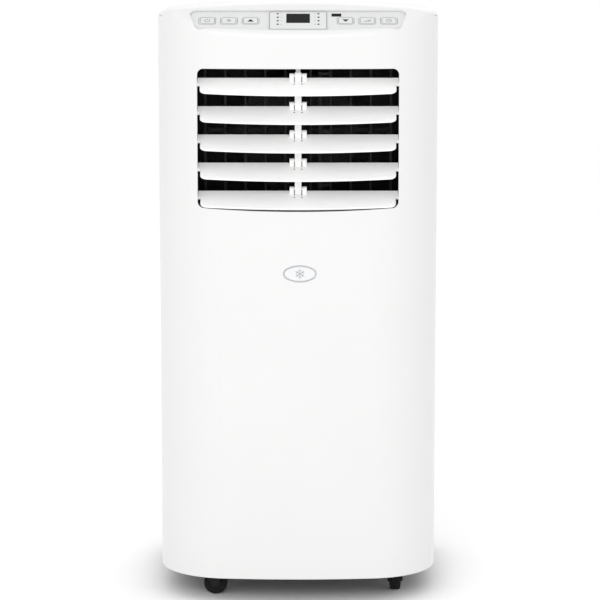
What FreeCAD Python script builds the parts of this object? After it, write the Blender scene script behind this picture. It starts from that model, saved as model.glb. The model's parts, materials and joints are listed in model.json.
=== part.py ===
import FreeCAD, Part
import math
import os
import Sketcher

# Portable air conditioner on four swivel casters. Millimetres, +Z up, the front faces -Y,
# origin on the floor under the middle of the machine.

DIMENSIONS = {
    # case: width, plan curves, heights
    "case_width": 330,
    "front_reach": 150,
    "rear_reach": 138,
    "skirt_height": 29,
    "case_top": 704,
    "front_radius": 820,
    "corner_radius": 85,
    "rear_corner_radius": 20,
    "crown_radius": 1540,
    "edge_radius": 9,
    "wall": 2.5,
    "seam_y": -58,
    "seam_gap": 0.4,
    "lip_back": -90,
    "top_seam": 690,
    "fit_gap": 0.4,
    # sloping control panel
    "slope_base": 671.5,
    "slope_angle": 32,
    "recess_half": 118,
    "recess_half_top": 127.5,
    "recess_low": 12.6,
    "recess_high": 48.3,
    "recess_radius": 1126,
    "recess_corner": 9,
    "fascia_top": -2.7,
    "fascia_thickness": 2.3,
    "fascia_margin": 4,
    "key_width": 19,
    "key_height": 15,
    "key_row": 29.4,
    "key_first": 54.8,
    "key_pitch": 25,
    "key_gap": 0.4,
    "key_corner": 3,
    "key_proud": 0.4,
    "bezel_half": 34,
    "bezel_low": 9.5,
    "bezel_high": 47,
    "bezel_rise": 1.1,
    "display_width": 27,
    "display_height": 19.2,
    "display_row": 33,
    "lamp_x": 23.5,
    "lamp_row": 20.6,
    "lamp_pitch": 7.2,
    "lamp_radius": 1.2,
    "receiver_x": 44.3,
    "receiver_row": 41,
    "receiver_width": 10.9,
    "receiver_height": 5.6,
    "board_depth": -14.4,
    "board_thickness": 1.6,
    "board_half": 118,
    "board_low": 18,
    "board_high": 46,
    # front air outlet
    "outlet_half": 116.5,
    "outlet_low": 469.9,
    "outlet_high": 630.5,
    "outlet_radius": 1667,
    "outlet_corner": 7.3,
    "duct_low": 464.5,
    "duct_high": 631.5,
    "duct_half": 117.5,
    "duct_half_back": 126,
    "duct_step": -108,
    "duct_back": -50,
    "mullion_half": 2.7,
    "mullion_depth": 8,
    # louvre slats
    "slat_count": 5,
    "slat_pitch": 32.9,
    "slat_top_pivot": 611.4,
    "slat_pivot_y": -127,
    "slat_tilt": 28,
    "slat_front": 18,
    "slat_bulge_radius": 1107,
    "slat_back": 13.5,
    "slat_thickness": 2.2,
    "slat_side_gap": 4,
    "slat_end_gap": 0.8,
    "slat_corner": 8,
    "slat_pin": 2,
    "pin_clearance": 0.08,
    "notch_half": 4.8,
    "notch_start": 3.5,
    "ear_width": 5.2,
    "ear_radius": 3.6,
    "link_reach": 12.8,
    "link_angle": 51.3,
    "link_half": 3.9,
    "link_depth": 5,
    "link_pin": 1.6,
    "link_head": 3.5,
    "link_tail": 9,
    # vertical vanes behind the slats
    "vane_first": 14.7,
    "vane_pitch": 23.6,
    "vane_pivot_y": -80,
    "vane_half_chord": 13,
    "vane_thickness": 1.6,
    "vane_end_gap": 0.8,
    "vane_pin": 1.8,
    "tie_reach": 18,
    "tie_height": 554.4,
    "tie_section": 5,
    "tie_pin": 1.5,
    "handle_offset": 12.6,
    # casters
    "caster_x": 117,
    "caster_front": -102,
    "caster_back": 92,
    "caster_trail": 18,
    "wheel_radius": 14,
    "wheel_width": 12,
    "axle_radius": 2,
    "stem_radius": 4,
    "fork_crown": 28.8,
    "fork_crown_top": 31.6,
    "cheek_inner": 6.6,
    "cheek_outer": 8.6,
    # base and deck
    "pan_inset": 3.2,
    "pan_bottom": 36,
    "pan_floor": 4,
    "pan_rim": 64,
    "pan_wall": 3,
    "deck_level": 424,
    "deck_thickness": 3,
    # rear panel
    "intake_half": 112,
    "intake_low": 448,
    "intake_high": 658,
    "slot_count": 15,
    "slot_low": 13,
    "slot_pitch": 12.6,
    "slot_height": 7.6,
    "slot_column": 70,
    "slot_half": 32,
    "vent_count": 13,
    "vent_low": 75,
    "vent_pitch": 13,
    "vent_height": 7,
    "vent_column": 72,
    "vent_half": 33,
    "grille_gap": 1,
    "grille_front": 133,
    "grille_back": 137.5,
    "hinge_y": 135.25,
    "hinge_barrel": 2.6,
    "hinge_pin": 1.5,
    "exhaust_height": 339,
    "exhaust_bore": 71,
    "exhaust_wall": 3,
    "exhaust_end": 150,
    "exhaust_flange": 82,
    "drain_height": 54,
    "drain_x": 95,
    "cord_height": 95,
    "cord_x": -128,
    "screw_x": 135,
    "screw_low": 46,
    "screw_high": 678,
    "screw_head_radius": 3.6,
    "screw_radius": 1.6,
    # refrigeration and air handling
    "compressor_x": -70,
    "compressor_y": -50,
    "compressor_radius": 52,
    "compressor_base": 50,
    "compressor_top": 250,
    "foot_x": 50,
    "foot_y": 35,
    "foot_radius": 8,
    "upper_fan_height": 547,
    "upper_fan_radius": 72,
    "lower_fan_radius": 70,
    "shaft_radius": 4,
    "shaft_clearance": 0.06,
    # badge
    "badge_x": 2,
    "badge_height": 393.6,
    "badge_half": 19,
    "badge_half_height": 9.5,
    "badge_tip_radius": 6,
}

doc = FreeCAD.newDocument("PortableAirConditioner")
sheet = doc.addObject("Spreadsheet::Sheet", "dims")
for row, (alias, number) in enumerate(DIMENSIONS.items(), start=1):
    sheet.set(f"A{row}", alias)
    sheet.set(f"B{row}", str(number))
    sheet.setAlias(f"B{row}", alias)
doc.recompute()

SUB_PARTS = []
PANEL = ("0", "-dims.front_reach", "dims.slope_base")
SIDES = (-1, 1)
SCREW_HEIGHTS = ("dims.screw_low", "dims.deck_level - 6", "dims.screw_high")


# ---------------------------------------------------------------- helpers

def value(expression):
    """Number that a spreadsheet expression stands for."""
    return float(sheet.evalExpression(expression))


def bind(item, prop, expression):
    """Tie one property of an object to the spreadsheet."""
    item.setExpression(prop, expression)


def place(item, position, turn_axis=None, turn_angle=None):
    """Bind an object's placement: a position and, when given, one rotation."""
    for letter, expression in zip("xyz", position):
        bind(item, f"Placement.Base.{letter}", expression)
    if turn_axis:
        axis = FreeCAD.Vector(*turn_axis)
        item.Placement = FreeCAD.Placement(FreeCAD.Vector(), FreeCAD.Rotation(axis, value(turn_angle)))
        bind(item, "Placement.Rotation.Angle", turn_angle)
    return item


def place_on_panel(item):
    """Put an object that was drawn flat onto the sloping control panel."""
    return place(item, PANEL, (1, 0, 0), "dims.slope_angle")


def sub_part(item, label):
    """Register a finished sub-part: its label names its file and its node."""
    item.Label = label
    SUB_PARTS.append(item)
    return item


def box(name, x_range, y_range, z_range):
    item = doc.addObject("Part::Box", name)
    for side, (low, high) in zip(("Length", "Width", "Height"), (x_range, y_range, z_range)):
        bind(item, side, f"({high}) - ({low})")
    return place(item, (x_range[0], y_range[0], z_range[0]))


def cylinder(name, axis, radius, low, high, first, second):
    """Cylinder along X, Y or Z from low to high; first and second place its centre line."""
    item = doc.addObject("Part::Cylinder", name)
    bind(item, "Radius", radius)
    bind(item, "Height", f"({high}) - ({low})")
    if axis == "X":
        return place(item, (low, first, second), (0, 1, 0), "90")
    if axis == "Y":
        return place(item, (first, low, second), (-1, 0, 0), "90")
    return place(item, (first, second, low))


def join(name, shapes):
    item = doc.addObject("Part::MultiFuse", name)
    item.Shapes = shapes
    return item


def group(name, shapes):
    """Several separate solids kept in one sub-part."""
    item = doc.addObject("Part::Compound", name)
    item.Links = shapes
    return item


def carve(name, base, tools):
    item = doc.addObject("Part::Cut", name)
    item.Base = base
    item.Tool = tools[0] if len(tools) == 1 else join(name + "_tools", tools)
    return item


def meet(name, first, second):
    item = doc.addObject("Part::Common", name)
    item.Base = first
    item.Tool = second
    return item


def add_sketch(body, name, plane_role, offset):
    """Sketch on one of the body's own origin planes, moved along its normal by offset."""
    plane = [feature for feature in body.Origin.OriginFeatures if feature.Role == plane_role][0]
    sketch = body.newObject("Sketcher::SketchObject", name)
    sketch.AttachmentSupport = [(plane, "")]
    sketch.MapMode = "FlatFace"
    bind(sketch, "AttachmentOffset.Base.z", offset)
    return sketch


def draw(sketch, corners):
    """Closed outline, fully constrained to the sheet.

    Each corner is (x, y) or (x, y, radius): the radius makes the side that leaves the corner an
    arc, bulging to the right of its direction when positive and to the left when negative.
    """
    points = [FreeCAD.Vector(value(corner[0]), value(corner[1]), 0) for corner in corners]
    count = len(corners)
    start_vertex = [1] * count
    for index, corner in enumerate(corners):
        start = points[index]
        end = points[(index + 1) % count]
        if len(corner) == 2:
            sketch.addGeometry(Part.LineSegment(start, end))
            continue
        radius = value(corner[2])
        half = (end - start) * 0.5
        right = FreeCAD.Vector(half.y, -half.x, 0).normalize()
        rise = abs(radius) - math.sqrt(radius * radius - half.Length ** 2)
        middle = start + half + right * math.copysign(rise, radius)
        if radius > 0:
            sketch.addGeometry(Part.Arc(start, middle, end))
        else:
            sketch.addGeometry(Part.Arc(end, middle, start))
            start_vertex[index] = 2
    for index, corner in enumerate(corners):
        following = (index + 1) % count
        first = start_vertex[index]
        sketch.addConstraint(
            Sketcher.Constraint("Coincident", index, 3 - first, following, start_vertex[following])
        )
        for kind, position, expression in (
            ("DistanceX", points[index].x, corner[0]),
            ("DistanceY", points[index].y, corner[1]),
        ):
            number = sketch.addConstraint(Sketcher.Constraint(kind, -1, 1, index, first, position))
            bind(sketch, f"Constraints[{number}]", expression)
        if len(corner) == 3:
            number = sketch.addConstraint(
                Sketcher.Constraint("Radius", index, abs(value(corner[2])))
            )
            bind(sketch, f"Constraints[{number}]", f"abs({corner[2]})")


def prism(name, plane_role, corners, low, high):
    """Body with one outline padded from low to high along X (YZ), Y (XZ) or Z (XY)."""
    body = doc.addObject("PartDesign::Body", name)
    offset = f"-({high})" if plane_role == "XZ_Plane" else low
    sketch = add_sketch(body, name + "_outline", plane_role, offset)
    draw(sketch, corners)
    pad = body.newObject("PartDesign::Pad", name + "_pad")
    pad.Profile = sketch
    bind(pad, "Length", f"({high}) - ({low})")
    return body


def round_edges(body, name, radius, wanted):
    """Fillet the edges of the body's tip that the test wanted picks out."""
    doc.recompute()
    tip = body.Tip
    chosen = [f"Edge{number}" for number, edge in enumerate(tip.Shape.Edges, start=1) if wanted(edge)]
    fillet = body.newObject("PartDesign::Fillet", name)
    fillet.Base = (tip, chosen)
    bind(fillet, "Radius", radius)
    return body


def runs_along(axis_index):
    """Edge test: straight and parallel to X (0), Y (1) or Z (2)."""
    def test(edge):
        straight = edge.Curve.TypeId == "Part::GeomLine"
        return straight and abs(edge.tangentAt(edge.FirstParameter)[axis_index]) > 0.999
    return test


def turned(name, corners):
    """Body turned about its own Z axis from a half section (radius, height)."""
    body = doc.addObject("PartDesign::Body", name)
    sketch = add_sketch(body, name + "_section", "XZ_Plane", "0")
    draw(sketch, corners)
    revolution = body.newObject("PartDesign::Revolution", name + "_turn")
    revolution.Profile = sketch
    revolution.ReferenceAxis = (sketch, ["V_Axis"])
    revolution.Angle = 360
    return body


def rectangle(left, right, low, high):
    return [(left, low), (right, low), (right, high), (left, high)]


def rounded_rectangle(left, right, low, high, radius):
    return [
        (f"{left} + {radius}", low),
        (f"{right} - {radius}", low, radius),
        (right, f"{low} + {radius}"),
        (right, f"{high} - {radius}", radius),
        (f"{right} - {radius}", high),
        (f"{left} + {radius}", high, radius),
        (left, f"{high} - {radius}"),
        (left, f"{low} + {radius}", radius),
    ]


# ---------------------------------------------------------------- case

def plan_prism(name, inset, low, high):
    """The plan of the case, every side moved inwards by inset, from low to high."""
    half = f"(dims.case_width / 2 - {inset})"
    radius = f"(dims.front_radius - {inset})"
    front = f"(-dims.front_reach + dims.front_radius - sqrt({radius}^2 - {half}^2))"
    rear = f"(dims.rear_reach - {inset})"
    corners = [(f"-{half}", front, radius), (half, front), (half, rear), (f"-{half}", rear)]
    body = prism(name, "XY_Plane", corners, low, high)
    upright = runs_along(2)
    round_edges(body, name + "_front_corners", f"dims.corner_radius - {inset}",
                lambda edge: upright(edge) and edge.CenterOfMass.y < 0)
    round_edges(body, name + "_rear_corners", f"dims.rear_corner_radius - {inset}",
                lambda edge: upright(edge) and abs(edge.CenterOfMass.y - value(rear)) < 0.01)
    return body


def envelope(name, inset, low):
    """Whole case as one solid: plan, crowned top and control slope, edges rounded."""
    body = plan_prism(name, inset, low, "dims.case_top + 5")
    span = "dims.case_width"
    radius = f"(dims.crown_radius - {inset})"
    shoulder = f"(dims.case_top - dims.crown_radius + sqrt({radius}^2 - {span}^2))"
    above = "dims.case_top + 20"
    crown = add_sketch(body, name + "_crown", "XZ_Plane", "0")
    draw(crown, [(f"-{span}", shoulder, f"-{radius}"), (span, shoulder), (span, above), (f"-{span}", above)])
    slope_start = f"(dims.slope_base - {inset} / cos(dims.slope_angle))"
    slope = add_sketch(body, name + "_slope", "YZ_Plane", "0")
    top = f"{slope_start} + 100 * tan(dims.slope_angle)"
    draw(slope, [
        ("-dims.front_reach - 40", f"{slope_start} - 40 * tan(dims.slope_angle)"),
        ("-dims.front_reach + 100", top),
        ("-dims.front_reach - 40", top),
    ])
    for sketch in (crown, slope):
        pocket = body.newObject("PartDesign::Pocket", sketch.Name + "_cut")
        pocket.Profile = sketch
        pocket.SideType = "Symmetric"
        bind(pocket, "Length", "dims.case_width * 3")
    upright = runs_along(2)
    floor = value("dims.slope_base") - 40
    round_edges(body, name + "_edges", f"dims.edge_radius - {inset}",
                lambda edge: edge.BoundBox.ZMin > floor and not upright(edge))
    return body


def case_shell(name):
    """Open-bottomed skin of the whole case, to be divided into the covers."""
    outside = envelope(name + "_outside", "0", "dims.skirt_height")
    inside = envelope(name + "_inside", "dims.wall", "dims.skirt_height - 10")
    return carve(name, outside, [inside])


def panel_outline(margin, low_margin):
    """Outline of the control recess on the slope, grown by the margins."""
    low = f"dims.recess_low - {low_margin}"
    high = f"dims.recess_high + {margin}"
    return [
        (f"-dims.recess_half - {margin}", low, "dims.recess_radius"),
        (f"dims.recess_half + {margin}", low),
        (f"dims.recess_half_top + {margin}", high),
        (f"-dims.recess_half_top - {margin}", high),
    ]


def front_cover():
    region = prism("front_region", "YZ_Plane", [
        ("-dims.front_reach - 10", "0"),
        ("dims.seam_y - dims.seam_gap / 2", "0"),
        ("dims.seam_y - dims.seam_gap / 2", "dims.top_seam - dims.seam_gap"),
        ("dims.lip_back - dims.seam_gap", "dims.top_seam - dims.seam_gap"),
        ("dims.lip_back - dims.seam_gap", "dims.case_top + 10"),
        ("-dims.front_reach - 10", "dims.case_top + 10"),
    ], "-dims.case_width", "dims.case_width")
    skin = meet("front_skin", case_shell("front_shell"), region)
    recess = prism("recess_cut", "XY_Plane", panel_outline("0", "0"), "-8", "8")
    round_edges(recess, "recess_cut_corners", "dims.recess_corner", runs_along(2))
    place_on_panel(recess)
    outlet = prism("outlet_cut", "XZ_Plane", [
        ("-dims.outlet_half", "dims.outlet_low", "dims.outlet_radius"),
        ("dims.outlet_half", "dims.outlet_low"),
        ("dims.outlet_half", "dims.outlet_high"),
        ("-dims.outlet_half", "dims.outlet_high"),
    ], "-dims.front_reach - 5", "-dims.front_reach + 25")
    round_edges(outlet, "outlet_cut_corners", "dims.outlet_corner", runs_along(1))
    seat = prism("badge_seat", "XZ_Plane", badge_outline("dims.fit_gap"),
                 "-dims.front_reach - 5", "-dims.front_reach + 1.1")
    sub_part(carve("front_cover_solid", skin, [recess, outlet, seat]), "front_cover")


def rear_cover():
    region = box("rear_region", ("-dims.case_width", "dims.case_width"),
                 ("dims.seam_y + dims.seam_gap / 2", "dims.rear_reach + 10"),
                 ("0", "dims.top_seam - dims.seam_gap"))
    skin = meet("rear_skin", case_shell("rear_shell"), region)
    bosses = []
    for side in SIDES:
        near, far = (f"{side} * dims.intake_half", f"{side} * (dims.intake_half + 6)")
        x_range = (near, far) if side > 0 else (far, near)
        bosses.append(box(f"hinge_boss_{len(bosses)}", x_range,
                          ("dims.hinge_y - 4.5", "dims.rear_reach - 1"),
                          ("dims.intake_low - 3", "dims.intake_low + 9")))
    through = ("dims.rear_reach - 20", "dims.rear_reach + 5")
    tools = [box("intake_cut", ("-dims.intake_half", "dims.intake_half"), through,
                 ("dims.intake_low", "dims.intake_high"))]
    for number in range(int(value("dims.vent_count"))):
        low = f"dims.vent_low + dims.vent_pitch * {number}"
        for column in (-1, 0, 1):
            centre = f"{column} * dims.vent_column"
            tools.append(box(f"vent_{number}_{column + 1}",
                             (f"{centre} - dims.vent_half", f"{centre} + dims.vent_half"),
                             through, (low, f"{low} + dims.vent_height")))
    tools.append(cylinder("exhaust_cut", "Y", "dims.exhaust_bore + dims.exhaust_wall + 0.5",
                          *through, "0", "dims.exhaust_height"))
    tools.append(cylinder("drain_cut", "Y", "6.4", *through, "dims.drain_x", "dims.drain_height"))
    tools.append(cylinder("cord_cut", "Y", "8.2", *through, "dims.cord_x", "dims.cord_height"))
    tools.append(cylinder("hinge_hole", "X", "dims.hinge_pin + dims.pin_clearance",
                          "-dims.intake_half - 4.5", "dims.intake_half + 4.5", "dims.hinge_y",
                          "dims.intake_low + dims.grille_gap + dims.hinge_barrel"))
    tools += screw_shanks("rear_cover_hole", "dims.screw_radius + 0.15")
    body = join("rear_cover_body", [skin] + bosses)
    sub_part(carve("rear_cover_solid", body, tools), "rear_cover")


def top_cover():
    region = box("top_region", ("-dims.case_width", "dims.case_width"),
                 ("dims.lip_back", "dims.rear_reach + 10"),
                 ("dims.top_seam", "dims.case_top + 10"))
    skin = meet("top_skin", case_shell("top_shell"), region)
    inner = envelope("top_tab_limit", "(dims.wall - 0.5)", "dims.skirt_height")
    tabs = [box(f"top_tab_{number}", (f"{side} * dims.screw_x - 8", f"{side} * dims.screw_x + 8"),
                ("dims.rear_reach - dims.wall - 3.4", "dims.rear_reach - dims.wall - 0.4"),
                ("670", "dims.case_top")) for number, side in enumerate(SIDES)]
    fitted = meet("top_tabs", join("top_tab_blocks", tabs), inner)
    holes = screw_shanks("top_cover_hole", "dims.screw_radius")
    sub_part(carve("top_cover_solid", join("top_cover_body", [skin, fitted]), holes), "top_cover")


def screw_shanks(name, radius):
    """Shank of each case screw, as solids or as hole tools."""
    shanks = []
    for side in SIDES:
        for height in SCREW_HEIGHTS:
            shanks.append(cylinder(f"{name}_{len(shanks)}", "Y", radius, "dims.rear_reach - 9",
                                   "dims.rear_reach + 0.3", f"{side} * dims.screw_x", height))
    return shanks


def case_screws():
    screws = []
    for number, shank in enumerate(screw_shanks("screw_shank", "dims.screw_radius")):
        shank_x = f"{SIDES[number // 3]} * dims.screw_x"
        height = SCREW_HEIGHTS[number % 3]
        head = cylinder(f"screw_head_{number}", "Y", "dims.screw_head_radius", "dims.rear_reach + 0.2",
                        "dims.rear_reach + 2.4", shank_x, height)
        depth = ("dims.rear_reach + 1.4", "dims.rear_reach + 3")
        cross = [box(f"screw_slot_{number}_{across}_{up}",
                     (f"{shank_x} - {across}", f"{shank_x} + {across}"), depth,
                     (f"{height} - {up}", f"{height} + {up}"))
                 for across, up in ((2, 0.4), (0.4, 2))]
        screws.append(carve(f"screw_{number}", join(f"screw_blank_{number}", [shank, head]), cross))
    sub_part(group("case_screw_set", screws), "case_screws")


def base_pan():
    outside = plan_prism("pan_outside", "dims.pan_inset", "dims.pan_bottom", "dims.pan_rim")
    inside = plan_prism("pan_inside", "(dims.pan_inset + dims.pan_wall)",
                        "dims.pan_bottom + dims.pan_floor", "dims.pan_rim + 5")
    tray = carve("pan_tray", outside, [inside])
    bosses = []
    holes = []
    for number, (x, y) in enumerate(CASTERS.values()):
        bosses.append(cylinder(f"stem_boss_{number}", "Z", "9", "dims.pan_bottom + 1",
                               "dims.pan_bottom + 20", x, y))
        holes.append(cylinder(f"stem_hole_{number}", "Z", "dims.stem_radius + dims.shaft_clearance",
                              "dims.pan_bottom - 5", "dims.pan_bottom + 18", x, y))
    holes.append(cylinder("pan_drain", "Y", "6.3", "dims.rear_reach - 10", "dims.rear_reach",
                          "dims.drain_x", "dims.drain_height"))
    holes += screw_shanks("pan_hole", "dims.screw_radius")
    sub_part(carve("base_pan_solid", join("pan_body", [tray] + bosses), holes), "base_pan")


def middle_deck():
    plate = plan_prism("deck_plate", "dims.pan_inset", "dims.deck_level",
                       "dims.deck_level + dims.deck_thickness")
    flanges = [box(f"deck_flange_{number}", (f"{side} * dims.screw_x - 6", f"{side} * dims.screw_x + 6"),
                   ("dims.rear_reach - dims.pan_inset - 3", "dims.rear_reach - dims.pan_inset"),
                   ("dims.deck_level - 14", "dims.deck_level + 1")) for number, side in enumerate(SIDES)]
    holes = screw_shanks("deck_hole", "dims.screw_radius")
    sub_part(carve("deck_solid", join("deck_body", [plate] + flanges), holes), "middle_deck")


# ---------------------------------------------------------------- badge and control panel

def badge_outline(gap):
    """Oval of four arcs that meet tangentially: two long ones and two tight ends."""
    half = f"(dims.badge_half + {gap})"
    half_height = f"(dims.badge_half_height + {gap})"
    tip = f"(dims.badge_tip_radius + {gap})"
    long = f"((({half} - {tip})^2 + {half_height}^2 - {tip}^2) / (2 * ({half_height} - {tip})))"
    join_x = f"{long} * ({half} - {tip}) / ({long} - {tip})"
    join_z = f"{tip} * ({long} - {half_height}) / ({long} - {tip})"
    left, right = (f"dims.badge_x - {join_x}", f"dims.badge_x + {join_x}")
    low, high = (f"dims.badge_height - {join_z}", f"dims.badge_height + {join_z}")
    return [(left, low, long), (right, low, tip), (right, high, long), (left, high, tip)]


def badge():
    plate = prism("badge_plate", "XZ_Plane", badge_outline("0"),
                  "-dims.front_reach - 0.1", "-dims.front_reach + 1")
    sub_part(plate, "badge")


def key_positions():
    """Centre of each key along the panel, three on each side of the display."""
    names = ("power", "mode", "up", "down", "speed", "timer")
    left = [f"-dims.key_first - {number} * dims.key_pitch" for number in (2, 1, 0)]
    right = [f"dims.key_first + {number} * dims.key_pitch" for number in (0, 1, 2)]
    return dict(zip(names, left + right))


def key_outline(x, grow):
    return rounded_rectangle(
        f"({x}) - dims.key_width / 2 - {grow}", f"({x}) + dims.key_width / 2 + {grow}",
        f"dims.key_row - dims.key_height / 2 - {grow}", f"dims.key_row + dims.key_height / 2 + {grow}",
        f"(dims.key_corner + {grow})")


def control_fascia():
    bottom = "dims.fascia_top - dims.fascia_thickness"
    plate = prism("fascia_plate", "XY_Plane", panel_outline("dims.fascia_margin", "1"),
                  bottom, "dims.fascia_top")
    round_edges(plate, "fascia_corners", "dims.recess_corner", runs_along(2))
    tools = [prism(f"key_hole_{name}", "XY_Plane", key_outline(x, "dims.key_gap"), f"{bottom} - 1", "1")
             for name, x in key_positions().items()]
    tools.append(box("receiver_hole", *receiver_range("0.2"), (f"{bottom} - 1", "1")))
    tools.append(box("module_hole", ("-dims.bezel_half + 4", "dims.bezel_half - 4"),
                     ("dims.bezel_low + 4", "dims.bezel_high - 3"), (f"{bottom} - 1", "1")))
    inner = envelope("fascia_limit", "(dims.wall + 0.1)", "dims.skirt_height")
    panel = place_on_panel(carve("fascia_panel", plate, tools))
    sub_part(meet("fascia_solid", panel, inner), "control_fascia")


def receiver_range(gap):
    return ((f"dims.receiver_x - dims.receiver_width / 2 - {gap}",
             f"dims.receiver_x + dims.receiver_width / 2 + {gap}"),
            (f"dims.receiver_row - dims.receiver_height / 2 - {gap}",
             f"dims.receiver_row + dims.receiver_height / 2 + {gap}"))


def display_range(gap):
    return ((f"-dims.display_width / 2 - {gap}", f"dims.display_width / 2 + {gap}"),
            (f"dims.display_row - dims.display_height / 2 - {gap}",
             f"dims.display_row + dims.display_height / 2 + {gap}"))


def lamps(name, radius, low, high):
    """Two columns of four indicator lamps, as solids or as hole tools."""
    return [cylinder(f"{name}_{side + 1}_{number}", "Z", radius, low, high, f"{side} * dims.lamp_x",
                     f"dims.lamp_row + {number} * dims.lamp_pitch")
            for side in SIDES for number in range(4)]


def display_parts():
    low = "dims.fascia_top"
    high = "dims.fascia_top + dims.bezel_rise"
    frame = prism("bezel_plate", "XY_Plane",
                  rounded_rectangle("-dims.bezel_half", "dims.bezel_half", "dims.bezel_low",
                                    "dims.bezel_high", "3"), low, high)
    window_hole = box("window_hole", *display_range("0.15"), ("-5", "1"))
    lamp_holes = lamps("lamp_hole", "dims.lamp_radius + 0.1", "-5", "1")
    sub_part(place_on_panel(carve("bezel_solid", frame, [window_hole] + lamp_holes)), "display_bezel")
    window = box("window_pane", *display_range("0"), ("dims.fascia_top - 1", f"{high} - 0.3"))
    sub_part(place_on_panel(group("window_set", [window])), "display_window")
    lenses = lamps("lamp_lens", "dims.lamp_radius", "dims.fascia_top - 1", f"{high} + 0.2")
    sub_part(place_on_panel(group("lens_set", lenses)), "indicator_lenses")
    receiver = box("receiver_pane", *receiver_range("0"), ("dims.fascia_top - 1.5", "dims.fascia_top + 0.3"))
    sub_part(place_on_panel(group("receiver_set", [receiver])), "receiver_window")


def keys():
    underside = "dims.fascia_top - dims.fascia_thickness"
    for name, x in key_positions().items():
        cap = prism(f"key_cap_{name}", "XY_Plane", key_outline(x, "0"), f"{underside} - 1.2",
                    "dims.fascia_top + dims.key_proud")
        flange = prism(f"key_flange_{name}", "XY_Plane", key_outline(x, "1.2"), f"{underside} - 1.8",
                       f"{underside} - 0.3")
        stem = cylinder(f"key_stem_{name}", "Z", "2", "dims.board_depth + 1.2", f"{underside} - 1",
                        x, "dims.key_row")
        sub_part(place_on_panel(join(f"key_solid_{name}", [cap, flange, stem])), f"button_{name}")


def control_board():
    board = box("board_plate", ("-dims.board_half", "dims.board_half"),
                ("dims.board_low", "dims.board_high"),
                ("dims.board_depth - dims.board_thickness", "dims.board_depth"))
    module = box("display_module", *display_range("-0.5"),
                 ("dims.board_depth - 0.2", "dims.fascia_top - 1.3"))
    switches = [box(f"switch_{name}", (f"{x} - 3", f"{x} + 3"), ("dims.key_row - 3", "dims.key_row + 3"),
                    ("dims.board_depth - 0.2", "dims.board_depth + 0.1"))
                for name, x in key_positions().items()]
    sub_part(place_on_panel(join("board_solid", [board, module] + switches)), "control_board")


# ---------------------------------------------------------------- front air outlet

def slat_pivot_height(number):
    return f"dims.slat_top_pivot - {number} * dims.slat_pitch"


def vane_positions():
    """Centre line of every vane, left to right, mirrored about the middle bar."""
    right = [f"(dims.vane_first + {number} * dims.vane_pitch)" for number in range(5)]
    return [f"-{x}" for x in reversed(right)] + right


def outlet_frame():
    low, high = ("dims.duct_low - dims.wall", "dims.duct_high + dims.wall")
    front = box("duct_front", ("-dims.duct_half - dims.wall", "dims.duct_half + dims.wall"),
                ("-dims.front_reach - 5", "dims.duct_step"), (low, high))
    back = box("duct_rear", ("-dims.duct_half_back - dims.wall", "dims.duct_half_back + dims.wall"),
               ("dims.duct_step - dims.wall", "dims.duct_back"), (low, high))
    limit = plan_prism("duct_limit", "(dims.wall + dims.fit_gap)", "dims.skirt_height", "dims.case_top")
    outside = meet("duct_outside", join("duct_blocks", [front, back]), limit)
    tools = [box("duct_front_way", ("-dims.duct_half", "dims.duct_half"),
                 ("-dims.front_reach - 6", "dims.duct_step + 1"), ("dims.duct_low", "dims.duct_high")),
             box("duct_rear_way", ("-dims.duct_half_back", "dims.duct_half_back"),
                 ("dims.duct_step", "dims.duct_back + 1"), ("dims.duct_low", "dims.duct_high"))]
    for number in range(int(value("dims.slat_count"))):
        tools.append(cylinder(f"slat_bearing_{number}", "X", "dims.slat_pin + dims.pin_clearance",
                              "-dims.duct_half - 5", "dims.duct_half + 5", "dims.slat_pivot_y",
                              slat_pivot_height(number)))
    for number, x in enumerate(vane_positions()):
        tools.append(cylinder(f"vane_bearing_{number}", "Z", "dims.vane_pin + dims.pin_clearance",
                              f"{low} - 1", f"{high} + 1", x, "dims.vane_pivot_y"))
    duct = carve("duct_shell", outside, tools)
    mullion = box("mullion", ("-dims.mullion_half", "dims.mullion_half"),
                  ("dims.duct_step", "dims.duct_step + dims.mullion_depth"), (low, high))
    sub_part(join("outlet_frame_solid", [duct, mullion]), "outlet_frame")


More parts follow.
